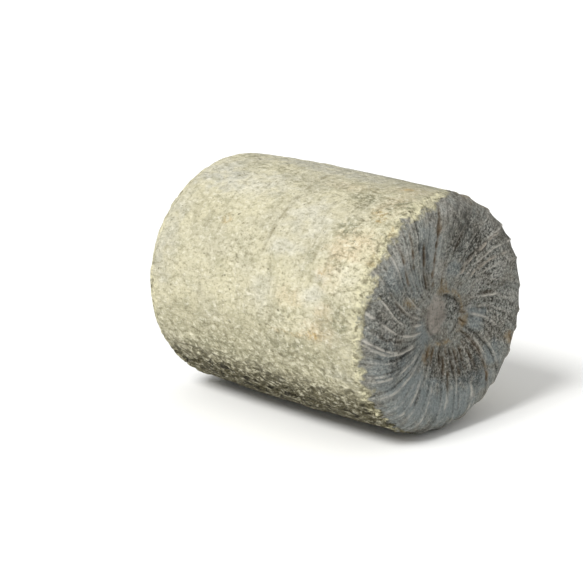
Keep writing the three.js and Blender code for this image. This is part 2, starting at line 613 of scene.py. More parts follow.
class FoldField:
    """Where each fold of one end runs, and how high the end stands round it."""

    COUNT = 30
    COLUMNS = 14  # of points to each fold
    CROWDING = 0.55  # how much closer those stand beside a ridge
    TWIN_GAP = 2.7  # from a ridge to the second one beside it, in millimetres
    NUB_WIDTH = 2.6
    SHOULDER = (0.72, 0.97)  # shares of the drum's radius over which a fold comes on to the shoulder
    RIM = (0.86, 1.0)  # and on to the rim

    def __init__(self, size: DrumFrame, end: DrumEnd) -> None:
        """Draws each fold's own habits.

        Args:
            size: The drum's sizes.
            end: The end that the folds are on.
        """
        folds = end.folds
        draw = np.random.default_rng(folds.seed)
        self.size = size
        self.end = end
        even = np.arange(self.COUNT) * FULL_TURN / self.COUNT
        widened = folds.spread * self.COUNT / FULL_TURN * np.sin(even - math.radians(folds.wide))
        self.shift = folds.unevenness * draw.uniform(-1, 1, self.COUNT) + widened
        self.turn = draw.uniform(-0.05, 0.05, self.COUNT) + folds.sweep
        self.start = end.knot_radius * draw.uniform(1.1, 2.5, self.COUNT)
        self.wander = draw.uniform(-0.1, 0.1, self.COUNT)
        self.phase = draw.uniform(0, FULL_TURN, self.COUNT)
        line = even + self.shift * FULL_TURN / self.COUNT
        self.turn += total(folds.swerve, line)
        self.height = draw.uniform(0.3, 1.4, self.COUNT) * (folds.plain + total(folds.bold, line))
        self.nub = draw.uniform(0.7, 1.3, self.COUNT) * (0.4 + total(folds.rim, line))
        self.twin = draw.uniform(0.3, 1.0, self.COUNT) * total(folds.twin, line)
        self.crease = draw.uniform(0.4, 1.4, self.COUNT) * (folds.plain + total(folds.creased, line))

    def on_end(self, along: np.ndarray, reach: float) -> np.ndarray:
        """Fades from the end to the side.

        Args:
            along: Each point's distance along the drum.
            reach: How far along the side the end's pattern runs, in millimetres.

        Returns:
            1 on the end's face and shoulder, and 0 past its reach.
        """
        past = self.size.half_length - self.end.shoulder_depth - np.abs(along)
        return smooth(reach, -reach / 2, past)

    def sweep(self, radius: np.ndarray) -> np.ndarray:
        """Returns how far a fold has turned at a radius, as a share of its sweep: none at the rim."""
        inward = 1 - np.minimum(radius / self.size.radius, 1)
        return inward * (1.6 - 0.6 * inward)

    def lay(self, angle: np.ndarray, radius: np.ndarray, along: np.ndarray) -> tuple[np.ndarray, np.ndarray]:
        """Finds where the columns of points run when they follow the folds.

        Args:
            angle: Each point's angle on the plain turned drum.
            radius: Its distance from the axis.
            along: Its distance along the drum.

        Returns:
            Each point's new angle, and its place across the folds: a whole number on each ridge.
        """
        even = angle / FULL_TURN * self.COUNT
        fold = np.floor(even + 1e-6)
        share = even - fold
        here = fold.astype(int) % self.COUNT
        there = (here + 1) % self.COUNT
        held = self.on_end(along, 40.0)
        crowded = share - held * self.CROWDING * np.sin(FULL_TURN * share) / FULL_TURN
        blend = smooth(0, 1, crowded)
        shift, wander, phase, turn = (
            habit[here] * (1 - blend) + habit[there] * blend
            for habit in (self.shift, self.wander, self.phase, self.turn)
        )
        across = fold + crowded
        waver = wander * np.sin(radius / 9.0 + phase)
        laid = (across + held * (shift + waver)) * FULL_TURN / self.COUNT
        laid += self.sweep(radius) * turn
        return laid, across

    def relief(
        self, across: np.ndarray, radius: np.ndarray, along: np.ndarray, broken: np.ndarray
    ) -> dict[str, np.ndarray]:
        """Works out the folds' relief.

        Args:
            across: Each point's place across the folds.
            radius: Its distance from the axis.
            along: Its distance along the drum.
            broken: Noise that breaks the ridges up along their length.

        Returns:
            The height in millimetres, and masks from 0 to 1 of the ridges and of the creases beside them.
        """
        folds = self.end.folds
        fold = np.floor(across + 1e-6)
        share = across - fold
        here = fold.astype(int) % self.COUNT
        there = (here + 1) % self.COUNT
        spacing = FULL_TURN * np.maximum(radius, 1.0) / self.COUNT
        width = folds.ridge_width / BELL_WIDTH
        part = radius / self.size.radius
        on_shoulder, on_rim = smooth(*self.SHOULDER, part), smooth(*self.RIM, part)
        whole = np.clip(0.75 + 1.8 * broken, 0.0, 1.4)
        ridge, nub = np.zeros_like(across), np.zeros_like(across)
        for which, gap in ((here, share), (there, 1 - share)):
            line = bell(gap * spacing, width)
            begun = smooth(self.start[which], self.start[which] + 9.0, radius)
            ridge += line * self.height[which] * begun * whole
            nub += bell(gap * spacing, self.NUB_WIDTH) * self.nub[which] * on_rim
        beside = bell(share * spacing - self.TWIN_GAP, width)
        ridge += beside * self.twin[here] * smooth(30, 40, radius) * whole
        foot = 1 - np.clip(1.6 * width / spacing, 0.08, 0.4)
        slope = np.where(share < foot, 1 - share / foot, (share - foot) / (1 - foot))
        from_knot = smooth(self.end.knot_radius * 1.1, self.end.knot_radius * 2.2, radius)
        crease = bell((share - foot) * spacing, 0.9 * width) * from_knot * self.crease[here]
        crease *= np.clip(0.8 - 1.3 * broken, 0.1, 1.4)
        faded = self.on_end(along, folds.run_out)
        height = folds.ridge * ridge * (1 - 0.85 * on_rim) + folds.nub * nub - folds.groove * crease
        height += folds.step * (0.3 + 0.7 * on_shoulder) * slope**1.3 * from_knot
        height -= folds.scallop * np.sin(np.pi * share) ** 2 * on_rim * self.nub[here]
        return {
            "height": height * faded,
            "ridge": np.clip(1.25 * ridge + 0.2 * nub, 0, 1) * faded,
            "crease": np.clip(crease, 0, 1) * faded,
        }


@dataclass
class Skin:
    """The drum's points while their relief is worked out, one value of each for each point.

    Attributes:
        along: Distance along the drum from its middle, in millimetres.
        radius: Distance from the axis.
        angle: Angle round the drum, in radians.
        normal: Outward direction as (along, outward).
        ridge: Mask of the folds' ridges.
        crease: Mask of the creases beside them.
    """

    along: np.ndarray
    radius: np.ndarray
    angle: np.ndarray
    normal: np.ndarray
    ridge: np.ndarray
    crease: np.ndarray

    def raised(self, height: Any) -> np.ndarray:
        """Finds the points when they stand out of the smooth drum.

        Args:
            height: How far each stands out, in millimetres.

        Returns:
            One row of coordinates for each point.
        """
        out = np.maximum(self.radius + height * self.normal[:, 1], 0) * (self.radius > 0)
        ahead = self.along + height * self.normal[:, 0]
        return np.column_stack([ahead, out * np.cos(self.angle), out * np.sin(self.angle)])

    def cover(self, patches: tuple[Patch, ...], place: np.ndarray, ragged: np.ndarray) -> np.ndarray:
        """Masks what patches cover.

        Args:
            patches: The patches.
            place: Each point's distance along the drum, or from its axis.
            ragged: Noise that breaks the patches' edges.

        Returns:
            How strongly each point is covered, from 0 to 1.
        """
        covered = np.zeros(len(place))
        for patch in patches:
            across = turned(self.angle, math.radians(patch.angle)) * self.radius
            away = np.hypot((place - patch.place) / patch.length, across / patch.breadth)
            covered = np.maximum(covered, patch.strength * smooth(1.35, 0.45, away + 0.55 * ragged))
        return covered


@dataclass(frozen=True)
class Unevenness:
    """How far the drum's surface strays from the smooth drum, in millimetres.

    Attributes:
        dents: Height of the side's two long waves, of two and of three lobes round the drum.
        dent_fade: The waves die away over this distance from each end.
        slump: How far the gathered end's shoulder has sunk at its upper back.
        slumped: Where that is, with a strength of 1.
        lumps: Height of the broad lumps and of the small ones.
        crumbs: Height of the rind's crumbs.
        craters: Depth of the pits underneath.
        lip: How far the rind stands up where it meets the mould.
        velvet: Height of the mould's grain.
    """

    dents: tuple[float, float] = (0.3, 0.2)
    dent_fade: float = 24.0
    slump: float = 0.9
    slumped: tuple[Sector, ...] = (Sector(58, 24, 1.0),)
    lumps: tuple[float, float] = (0.4, 0.25)
    crumbs: float = 0.3
    craters: float = 3.4
    lip: float = 0.5
    velvet: float = 0.14


@dataclass(frozen=True)
class MouldEdge:
    """Where the grey mould of an end stops on the side, in millimetres.

    Attributes:
        reach: How far from the end's crest it runs.
        swell: How far its edge strays in long swells.
        rag: How far it strays in short rags.
        held_back: How much less far it runs along a ridge.
        wilder: Where it runs this much further than `reach`, it strays twice as far in rags.
        face: Nearer to the axis than the rim by this much, all is mould.
        zone: Further from the crest than this, nothing is.
        most: The largest depth in the mould, or out of it, that the mesh stores.
        fringe: How far outside the edge the fringe of crumbs lies.
        fringe_width: Half of the fringe's width.
    """

    reach: float = 6.4
    swell: float = 2.6
    rag: float = 3.4
    held_back: float = 0.9
    wilder: float = 9.0
    face: float = 8.0
    zone: float = 34.0
    most: float = 8.0
    fringe: float = 2.6
    fringe_width: float = 2.8


@dataclass
class CheeseDrum:
    """The cheese itself: one turned drum, creased by the cloth and crumbled by its rind.

    Attributes:
        size: The drum's sizes.
        uneven: Its unevenness.
        mould: Where the mould of its ends stops.
        under: Where the underside begins, is full, thins out and ends, in degrees. It is laid darker there,
            partly its damp rind and partly painted shade.
        hairline: Where a fine crack runs round the side, in millimetres from the middle.
        hairline_ends: Where it begins, is full, thins out and ends, in degrees.
        knot_middle: Where the knot's mark lies, as millimetres along Y and Z from the axis.
        knot_shape: Width of that mark over its height.
        outline: Half of its section.
        fields: The folds of the gathered end, at +1, and of the pressed end, at -1.
    """

    size: DrumFrame
    uneven: Unevenness = Unevenness()
    mould: MouldEdge = MouldEdge()
    under: tuple[float, ...] = (200, 222, 300, 332)
    hairline: float = 4.0
    hairline_ends: tuple[float, ...] = (76, 92, 140, 156)
    knot_middle: tuple[float, float] = (-6.8, 1.2)
    knot_shape: float = 0.8
    outline: Outline = field(init=False)
    fields: dict[int, FoldField] = field(init=False)

    NAME = "natural_rind_drum"
    RING = "ring"  # the ring of the section that a point was turned from

    def __post_init__(self) -> None:
        """Works out the section and where the folds run."""
        self.outline = Outline.of(self.size)
        self.fields = {1: FoldField(self.size, GATHERED), -1: FoldField(self.size, PRESSED)}

    def build(self) -> bpy.types.Object:
        """Models the drum and stores the masks that its finish reads.

        Returns:
            The finished piece, at the origin.
        """
        drum = self.turn()
        self.shape(drum.data)
        bpy.ops.object.shade_smooth()
        return drum

    def dress(self, drum: bpy.types.Object, finish: NaturalRind) -> None:
        """Gives the drum its finish, which reads the masks that are stored on it."""
        drum.data.materials.append(finish.make(self.size.radius))

    def turn(self) -> bpy.types.Object:
        """Draws the outline as a chain of edges and spins it about the axis.

        Returns:
            The plain turned drum in the row frame's metres, with each point's ring stored on it.
        """
        points = np.column_stack([self.outline.along, self.outline.radius]) * MM
        bpy.ops.object.select_all(action="DESELECT")
        bpy.ops.mesh.primitive_plane_add(size=MM)
        drum = bpy.context.object
        drum.name = drum.data.name = self.NAME
        bpy.ops.object.mode_set(mode="EDIT")
        bpy.ops.mesh.merge(type="CENTER")
        bpy.ops.transform.translate(value=(points[0][0], 0, 0))
        for here, there in zip(points, points[1:]):
            step = (there[0] - here[0], there[1] - here[1], 0)
            bpy.ops.mesh.extrude_region_move(TRANSFORM_OT_translate={"value": step})
        bpy.ops.object.mode_set(mode="OBJECT")
        ring = drum.data.attributes.new(self.RING, "FLOAT", "POINT")
        ring.data.foreach_set("value", np.arange(len(points), dtype=np.float32))
        bpy.ops.object.mode_set(mode="EDIT")
        bpy.ops.mesh.select_all(action="SELECT")
        columns = FoldField.COUNT * FoldField.COLUMNS
        bpy.ops.mesh.spin(steps=columns, angle=FULL_TURN, center=(0, 0, 0), axis=(1, 0, 0))
        bpy.ops.mesh.select_all(action="SELECT")
        bpy.ops.mesh.remove_doubles(threshold=0.01 * MM)
        bpy.ops.mesh.normals_make_consistent(inside=False)
        bpy.ops.object.mode_set(mode="OBJECT")
        return drum

    def shape(self, mesh: bpy.types.Mesh) -> None:
        """Moves the turned drum's points into the folds, dents and crumbs, and stores the finish's masks.

        Args:
            mesh: The turned drum.
        """
        count = len(mesh.vertices)
        plain = np.empty(count * 3)
        mesh.vertices.foreach_get("co", plain)
        plain = plain.reshape(-1, 3)
        numbers = np.empty(count, dtype=np.float32)
        mesh.attributes[self.RING].data.foreach_get("value", numbers)
        mesh.attributes.remove(mesh.attributes[self.RING])
        ring = np.rint(numbers).astype(int)
        along, radius = self.outline.along[ring], self.outline.radius[ring]
        angle = np.arctan2(plain[:, 2], plain[:, 1]) % FULL_TURN
        skin = Skin(along, radius, angle, self.outline.normal[ring], np.zeros(count), np.zeros(count))

        height, across = np.zeros(count), np.zeros(count)
        for side, folds in self.fields.items():
            on = along * side > 0
            skin.angle[on], across[on] = folds.lay(angle[on], radius[on], along[on])
        skin.angle %= FULL_TURN
        smooth_places = skin.raised(0.0)
        broken = grain(smooth_places, 6.5, 3, 2.2)
        for side, folds in self.fields.items():
            on = along * side > 0
            relief = folds.relief(across[on], radius[on], along[on], broken[on])
            height[on], skin.ridge[on], skin.crease[on] = relief["height"], relief["ridge"], relief["crease"]

        masks = self.masks(skin, smooth_places)
        height += self.roughness(skin, smooth_places, masks)
        mesh.vertices.foreach_set("co", self.size.place(skin.raised(height)).ravel())
        for mask, values in masks.items():
            stored = mesh.attributes.new(mask.value, "FLOAT", "POINT")
            stored.data.foreach_set("value", values.astype(np.float32))
        line = across * FULL_TURN / FoldField.COUNT
        out = np.sign(along) * radius / self.size.radius
        flow = np.column_stack([np.cos(line), np.sin(line), out]).astype(np.float32)
        mesh.attributes.new(FLOW, "FLOAT_VECTOR", "POINT").data.foreach_set("vector", flow.ravel())
        mesh.update()

    def masks(self, skin: Skin, places: np.ndarray) -> dict[Mask, np.ndarray]:
        """Works out where each growth and mark lies.

        Args:
            skin: The drum's points.
            places: Each point on the smooth drum, in millimetres.

        Returns:
            Each mask's values.
        """
        mould = self.mould
        ragged = grain(places, 5.0, 3, 7.3)
        back = self.size.half_length - np.abs(skin.along)
        reaches = (total(end.mould_reach, skin.angle) for end in (GATHERED, PRESSED))
        further = np.where(skin.along > 0, *reaches)
        edge = mould.reach + further + mould.swell * grain(places, 16.0, 3)
        edge += (mould.rag * ragged - mould.held_back * skin.ridge) * (1 + further / mould.wilder)
        near_end = back < mould.zone
        depth = np.where(skin.radius < self.size.radius - mould.face, mould.most, edge - back)
        masks = {Mask.DEPTH: np.where(near_end, np.clip(depth, -mould.most, mould.most), -mould.most)}
        masks[Mask.RIDGE], masks[Mask.CREASE] = skin.ridge, skin.crease
        gathered, pressed = (skin.along > 0) & near_end, (skin.along < 0) & near_end
        for mask, patches in SIDE_GROWTHS.items():
            masks[mask] = skin.cover(patches, skin.along, ragged)
        for mask, patches in END_GROWTHS.items():
            masks[mask] = skin.cover(patches, skin.radius, ragged) * gathered
        masks[Mask.STIPPLE] += 0.6 * pressed * smooth(-0.1, 0.5, grain(places, 14.0, 3, 3.1))
        masks[Mask.SLATE] += pressed * smooth(-0.1, 0.5, grain(places, 17.0, 3, 6.1))
        # The underside's mask also lays its rind darker: partly its damp colour and partly painted shade.
        masks[Mask.UNDERSIDE] = self.stretch(skin, self.under)
        masks[Mask.FRINGE] = bell(masks[Mask.DEPTH] + mould.fringe, mould.fringe_width)
        line = bell(skin.along - self.hairline - ragged, 1.0) * smooth(-0.6, 0.3, ragged)
        masks[Mask.HAIRLINE] = line * self.stretch(skin, self.hairline_ends)
        knot_y, knot_z = self.knot_middle
        away = np.hypot(places[:, 1] - knot_y, (places[:, 2] - knot_z) * self.knot_shape) + 1.8 * ragged
        masks[Mask.KNOT] = smooth(10.0, 6.5, away) * gathered
        return masks

    @staticmethod
    def stretch(skin: Skin, limits: tuple[float, ...]) -> np.ndarray:
        """Masks a stretch round the drum.

        Args:
            skin: The drum's points.
            limits: Where it begins, is full, thins out and ends, in degrees.

        Returns:
            How strongly each point lies in it, from 0 to 1.
        """
        begins, full, thins, ends = limits
        degrees = np.degrees(skin.angle)
        return smooth(begins, full, degrees) * smooth(ends, thins, degrees)

    def roughness(self, skin: Skin, places: np.ndarray, masks: dict[Mask, np.ndarray]) -> np.ndarray:
        """Works out how far the surface stands in or out by its dents, crumbs and seams.

        Args:
            skin: The drum's points.
            places: Each point on the smooth drum, in millimetres.
            masks: The masks of `masks`, to which this adds those of the seams.

        Returns:
            The height at each point, in millimetres.
        """
        uneven = self.uneven
        share = skin.along / (2 * self.size.half_length)
        back = self.size.half_length - np.abs(skin.along)
        two_lobes, three_lobes = uneven.dents
        height = two_lobes * np.sin(2 * skin.angle + 3.1 * share + 0.4)
        height += three_lobes * np.sin(3 * skin.angle - 5.3 * share + 1.9)
        height *= smooth(0, uneven.dent_fade, back)
        sunk = smooth(40, 10, self.size.half_length - skin.along) * smooth(30, 60, skin.radius)
        height -= uneven.slump * total(uneven.slumped, skin.angle) * sunk
        rind = smooth(1.5, -1.5, masks[Mask.DEPTH])
        broad, small = uneven.lumps
        lumps = broad * grain(places, 24.0, 2, 1.7) + small * grain(places, 7.0, 2, 4.4)
        drawn_out = places * (0.6, 1.0, 1.0)
        crumbs = uneven.crumbs * grain(drawn_out, 3.0, 3, 9.1) * (0.5 + masks[Mask.CRUST])
        craters = np.clip(grain(drawn_out, 4.2, 2, 12.9) - 0.05, 0, 0.8)
        lip = uneven.lip * bell(masks[Mask.DEPTH] + 1.6, 1.8)
        velvet = uneven.velvet * grain(places, 1.9, 2, 6.2) * (0.5 + masks[Mask.STIPPLE])
        height += lumps * (0.35 + 0.65 * rind) + crumbs * rind + lip + velvet * (1 - rind)
        height -= uneven.craters * craters * masks[Mask.UNDERSIDE] * rind
        return height - self.seams(skin, places, masks) - self.knot_arcs(skin, places, masks)

    def seams(self, skin: Skin, places: np.ndarray, masks: dict[Mask, np.ndarray]) -> np.ndarray:
        """Lays the deep creases and the tall ridges of the gathered end along its folds.

        Args:
            skin: The drum's points.
            places: Each point on the smooth drum, in millimetres.
            masks: The masks, to which this adds the cracks and the brown stain.

        Returns:
            The depth cut at each point, in millimetres.
        """
        folds = GATHERED.folds
        sweep = self.fields[1].sweep(skin.radius)
        stray = 0.9 * grain(places, 9.0, 2, 8.8)
        whole = np.clip(0.85 + 1.5 * grain(places, 5.0, 2, 14.2), 0.1, 1.2)
        cracked, brown, cut = (np.zeros(len(places)) for _ in range(3))
        for seam in SEAMS:
            rim = math.radians(seam.angle)
            turn = folds.sweep + total(folds.swerve, rim)
            away = turned(skin.angle, rim + turn * sweep) * skin.radius + stray
            within = smooth(seam.inner - 2, seam.inner + 4, skin.radius) * (skin.along > 0)
            within *= smooth(seam.outer + 1, seam.outer - 8, skin.radius)
            slit = bell(away, 0.65) * within * whole
            if seam.depth > 0:
                cracked = np.maximum(cracked, slit * min(1.0, 0.4 + 0.6 * seam.depth))
            else:
                masks[Mask.RIDGE] = np.maximum(masks[Mask.RIDGE], slit)
            brown = np.maximum(brown, seam.brown * bell(away, 0.95) * within * whole)
            cut += seam.depth * slit
        masks[Mask.CRACK], masks[Mask.STAIN] = cracked, brown
        return cut

    def knot_arcs(self, skin: Skin, places: np.ndarray, masks: dict[Mask, np.ndarray]) -> np.ndarray:
        """Lays the creases and crusted lips round the mark of the knot.

        Args:
            skin: The drum's points.
            places: Each point on the smooth drum, in millimetres.
            masks: The masks, to which this adds the arcs' creases and crust.

        Returns:
            The depth cut at each point, in millimetres.
        """
        stray = 0.8 * grain(places, 5.0, 2, 3.4)
        cut = np.zeros(len(places))
        for arc in KNOT_ARCS:
            within = bell(turned(skin.angle, math.radians(arc.angle)), math.radians(arc.spread))
            within *= skin.along > 0
            band = bell(skin.radius + stray - arc.radius, arc.width) * smooth(0.3, 0.6, within)
            mask = Mask.CRACK if arc.depth > 0 else Mask.TAN
            masks[mask] = np.maximum(masks[mask], band * min(1.0, 0.4 + 0.5 * abs(arc.depth)))
            cut += arc.depth * band
        return cut


def linear(colour: str) -> tuple[float, float, float, float]:
    """Turns an sRGB colour to linear.

    Args:
        colour: The colour as hex, such as "#cdc8af".

    Returns:
        Its linear red, green and blue, and an alpha of 1.
    """
    values = [int(colour[i : i + 2], 16) / 255 for i in (1, 3, 5)]
    red, green, blue = (v / 12.92 if v <= 0.04045 else ((v + 0.055) / 1.055) ** 2.4 for v in values)
    return red, green, blue, 1.0


def add_node(
    tree: bpy.types.NodeTree, kind: str, inputs: dict[str | int, Any] | None = None, **settings: Any
) -> bpy.types.Node:
    """Adds a shader node.

    Args:
        tree: The material's node tree.
        kind: The node's type, such as "ShaderNodeTexNoise".
        inputs: For an input's name or number, its value, or the output that feeds it.
        settings: The node's own properties.

    Returns:
        The node.
    """
    node = tree.nodes.new(kind)
    for name, value in settings.items():
        setattr(node, name, value)
    for key, value in (inputs or {}).items():
        if isinstance(value, bpy.types.NodeSocket):
            tree.links.new(value, node.inputs[key])
        else:
            node.inputs[key].default_value = value
    return node


class Run(Enum):
    """What a pattern is laid along."""

    BODY = "straight through the cheese"
    FOLDS = "out along the folds of an end"


@dataclass(frozen=True)
class Pattern:
    """Lumps, crumbs, pits or fibres, as noise.

    Attributes:
        size: How far across one is, in millimetres. For one that runs along the folds, it is so at the rim.
        detail: How many finer layers it holds.
        rough: How strong those are.
        stretch: How many times longer one is along each axis. For one that runs along the folds, the third is
            out from the knot.
        warp: How far its shape is bent out of the plain lumps.
        run: What it is laid along.
    """

    size: float
    detail: float = 3.0
    rough: float = 0.6
    stretch: tuple[float, float, float] = (1.0, 1.0, 1.0)
    warp: float = 0.0
    run: Run = Run.BODY


class Texture(Enum):
    """What a coat's colour and relief follow.

    A mould's hairs are a few hundredths of a millimetre thick, too fine to show, so VELVET is drawn coarser,
    as tufts of 1.4 mm. The rind's dust is drawn coarser too, as CHIPS of 1.1 mm. EDGE is no pattern: it is
    how far inside the mould's ragged edge a point lies, in millimetres.
    """

    CRUMBS = Pattern(2.3, 5.0, 0.66, (1.4, 1.0, 1.0), 0.35)
    CHIPS = Pattern(1.1, 3.0, 0.6, (1.6, 1.0, 1.0))
    MOTTLE = Pattern(7.0, 4.0, 0.6, (1.5, 1.0, 1.0))
    BROAD = Pattern(26.0, 2.0)
    CLUMPS = Pattern(3.4, 3.0)
    WRINKLES = Pattern(3.4, 2.0, 0.5, (1.0, 9.0, 9.0))
    PITS = Pattern(4.6, 3.0, 0.6, (1.6, 1.0, 1.0), 0.4)
    HOLES = Pattern(2.8, 2.0, 0.5, (1.4, 1.0, 1.0))
    VELVET = Pattern(1.4, 5.0, 0.75)
    CLOUD = Pattern(10.0, 4.0)
    FIBRES = Pattern(2.4, 2.0, 0.6, (1.0, 1.0, 5.0), 0.3, Run.FOLDS)
    STRANDS = Pattern(5.0, 3.0, 0.6, (1.0, 1.0, 5.0), 0.4, Run.FOLDS)
    EDGE = None


@dataclass(frozen=True)
class Layer:
    """A thin layer of colour over what lies below it.

    Attributes:
        colour: Its colour.
        most: How far it hides what lies below, from 0 to 1.
        pattern: The pattern that it follows, if it isn't even.
        start: The pattern's value where it begins.
        full: The value where it is at its most. It may be below `start`.
        mask: The mask on the mesh that it keeps to, if it isn't everywhere.
    """

    colour: str
    most: float
    pattern: Texture | None = None
    start: float = 0.0
    full: float = 1.0
    mask: Mask | None = None


@dataclass(frozen=True)
class Coat:
    """One kind of skin, as the layers of its colour and the patterns of its relief.

    Attributes:
        base: Its lowest colour.
        layers: What lies over that, from the bottom up.
        relief: How high each pattern stands, in millimetres.
    """

    base: str
    layers: tuple[Layer, ...]
    relief: dict[Texture, float]


# A dry rind is matt and chalky: broken cream, with greenish grey between its crumbs. Where its colour follows
# the relief of its crumbs, chips, holes and wrinkles, darker in the hollows and paler on the tops, it is
# partly its own colour and partly painted shade and painted highlight.
RIND_COAT = Coat(
    base="#c9c3a6",
    layers=(
        Layer("#bbb69e", 0.8, Texture.BROAD, 0.42, 0.62),
        Layer("#ddc5a2", 0.55, Texture.MOTTLE, 0.3, 0.55, Mask.PEACH),
        Layer("#d3d1c4", 0.75, Texture.MOTTLE, 0.3, 0.55, Mask.CHALK),
        Layer("#a6a8a6", 0.85, Texture.MOTTLE, 0.3, 0.55, Mask.BLUE),
        # Partly olive growth and partly painted shade along the lower side.
        Layer("#8b876e", 0.5, Texture.MOTTLE, 0.25, 0.5, Mask.VEIL_AND_LOWER_SHADE),
        Layer("#99967b", 0.55, Texture.MOTTLE, 0.5, 0.7),
        Layer("#77775f", 0.8, Texture.CLUMPS, 0.42, 0.58, Mask.GREEN),
        Layer("#b5965c", 0.65, Texture.CLUMPS, 0.4, 0.6, Mask.OCHRE),
        # Partly painted shade: the whole underside is laid darker, for its damp rind and for the shade where
        # the side turns down to the paper.
        Layer("#66614b", 0.9, mask=Mask.UNDERSIDE),
        # Partly painted shade and painted highlight: the layers that follow WRINKLES, CRUMBS, CHIPS and HOLES
        # are darker where that relief is low and paler where it is high.
        Layer("#857f66", 0.3, Texture.WRINKLES, 0.42, 0.32),
        Layer("#857f65", 0.55, Texture.CRUMBS, 0.48, 0.34),
        Layer("#e4e0cd", 0.65, Texture.CRUMBS, 0.54, 0.69),
        Layer("#736f56", 0.7, Texture.CRUMBS, 0.48, 0.36, Mask.CRUST),
        Layer("#e0dbc0", 0.6, Texture.CRUMBS, 0.52, 0.64, Mask.CRUST),
        Layer("#766f56", 0.5, Texture.CHIPS, 0.43, 0.31),
        Layer("#f0ecd8", 0.45, Texture.CHIPS, 0.6, 0.72),
        Layer("#7b745a", 0.6, mask=Mask.HAIRLINE),
        # Partly painted shade: the rind is laid dark in the hollows of its holes.
        Layer("#57523c", 0.8, Texture.HOLES, 0.31, 0.23),
        # Partly painted shade: the underside's crumb hollows and its pits are laid near black.
        Layer("#3f3b2b", 0.8, Texture.CRUMBS, 0.56, 0.44, Mask.UNDERSIDE),
        Layer("#201d15", 0.9, Texture.PITS, 0.48, 0.38, Mask.UNDERSIDE),
        Layer("#dad4b0", 0.7, Texture.CRUMBS, 0.44, 0.58, Mask.FRINGE),
        Layer("#5b563d", 0.8, Texture.CLUMPS, 0.47, 0.36, Mask.FRINGE),
        # Painted shade: the folds' creases are laid dark where they run out of the mould on to the rind.
        Layer("#3c3826", 0.6, Texture.EDGE, -1.3, -0.3, Mask.CREASE),
    ),
    relief={
        Texture.CRUMBS: 1.5,
        Texture.CHIPS: 0.5,
        Texture.MOTTLE: 1.8,
        Texture.HOLES: 0.8,
        Texture.WRINKLES: 0.5,
    },
)

# Mould on the ends is a short velvet, grey and grainy, and rubbed pale where the cloth's folds stood out;
# that pale is partly a painted highlight on the ridges, and the creases and cracks beside them are laid dark
# as painted shade.
MOULD_COAT = Coat(
    base="#878a84",
    layers=(
        Layer("#77756c", 1.0, Texture.CLOUD, 0.42, 0.58),
        Layer("#7c8484", 0.8, mask=Mask.SLATE),
        # Partly painted shade and painted highlight: the layers that follow FIBRES, STRANDS, VELVET and CHIPS
        # are darker where that relief is low and paler where it is high.
        Layer("#4b4840", 0.55, Texture.FIBRES, 0.47, 0.33),
        Layer("#a5a198", 0.4, Texture.FIBRES, 0.55, 0.7),
        Layer("#45423b", 0.55, Texture.STRANDS, 0.46, 0.34),
        Layer("#a6a59e", 0.75, Texture.MOTTLE, 0.36, 0.56, Mask.FUZZ),
        Layer("#35332d", 0.6, Texture.VELVET, 0.49, 0.35),
        Layer("#26241f", 0.95, Texture.VELVET, 0.54, 0.4, Mask.STIPPLE),
        Layer("#b0ada4", 0.6, Texture.VELVET, 0.53, 0.65),
        Layer("#35332d", 0.5, Texture.CHIPS, 0.46, 0.34),
        Layer("#bab7ae", 0.5, Texture.CHIPS, 0.56, 0.68),
        Layer("#7d8687", 0.5, Texture.CLOUD, 0.3, 0.5, Mask.SLATE),
        Layer("#30302c", 0.75, Texture.CLUMPS, 0.62, 0.46, Mask.SMUDGE),
        Layer("#c2beb5", 0.6, Texture.VELVET, 0.56, 0.66, Mask.STIPPLE),
        Layer("#a1998f", 0.75, Texture.VELVET, 0.3, 0.5, Mask.KNOT),
        Layer("#8f7a55", 0.75, Texture.CLUMPS, 0.35, 0.55, Mask.TAN),
        # Painted shade: the creases beside the folds' ridges are laid dark.
        Layer("#2c2922", 0.85, Texture.VELVET, 0.7, 0.42, Mask.CREASE),
        # Partly rubbed pale and partly a painted highlight: the folds' ridges are laid pale.
        Layer("#b8b4aa", 0.9, Texture.VELVET, 0.3, 0.48, Mask.RIDGE),
        Layer("#80643e", 0.75, Texture.VELVET, 0.28, 0.5, Mask.STAIN),
        # Painted shade: the cracks of the seams and round the knot are laid near black.
        Layer("#1d1913", 0.85, mask=Mask.CRACK),
    ),
    relief={
        Texture.VELVET: 0.8,
        Texture.CHIPS: 0.4,
        Texture.FIBRES: 0.6,
        Texture.STRANDS: 0.9,
        Texture.CLOUD: 0.8,
    },
)


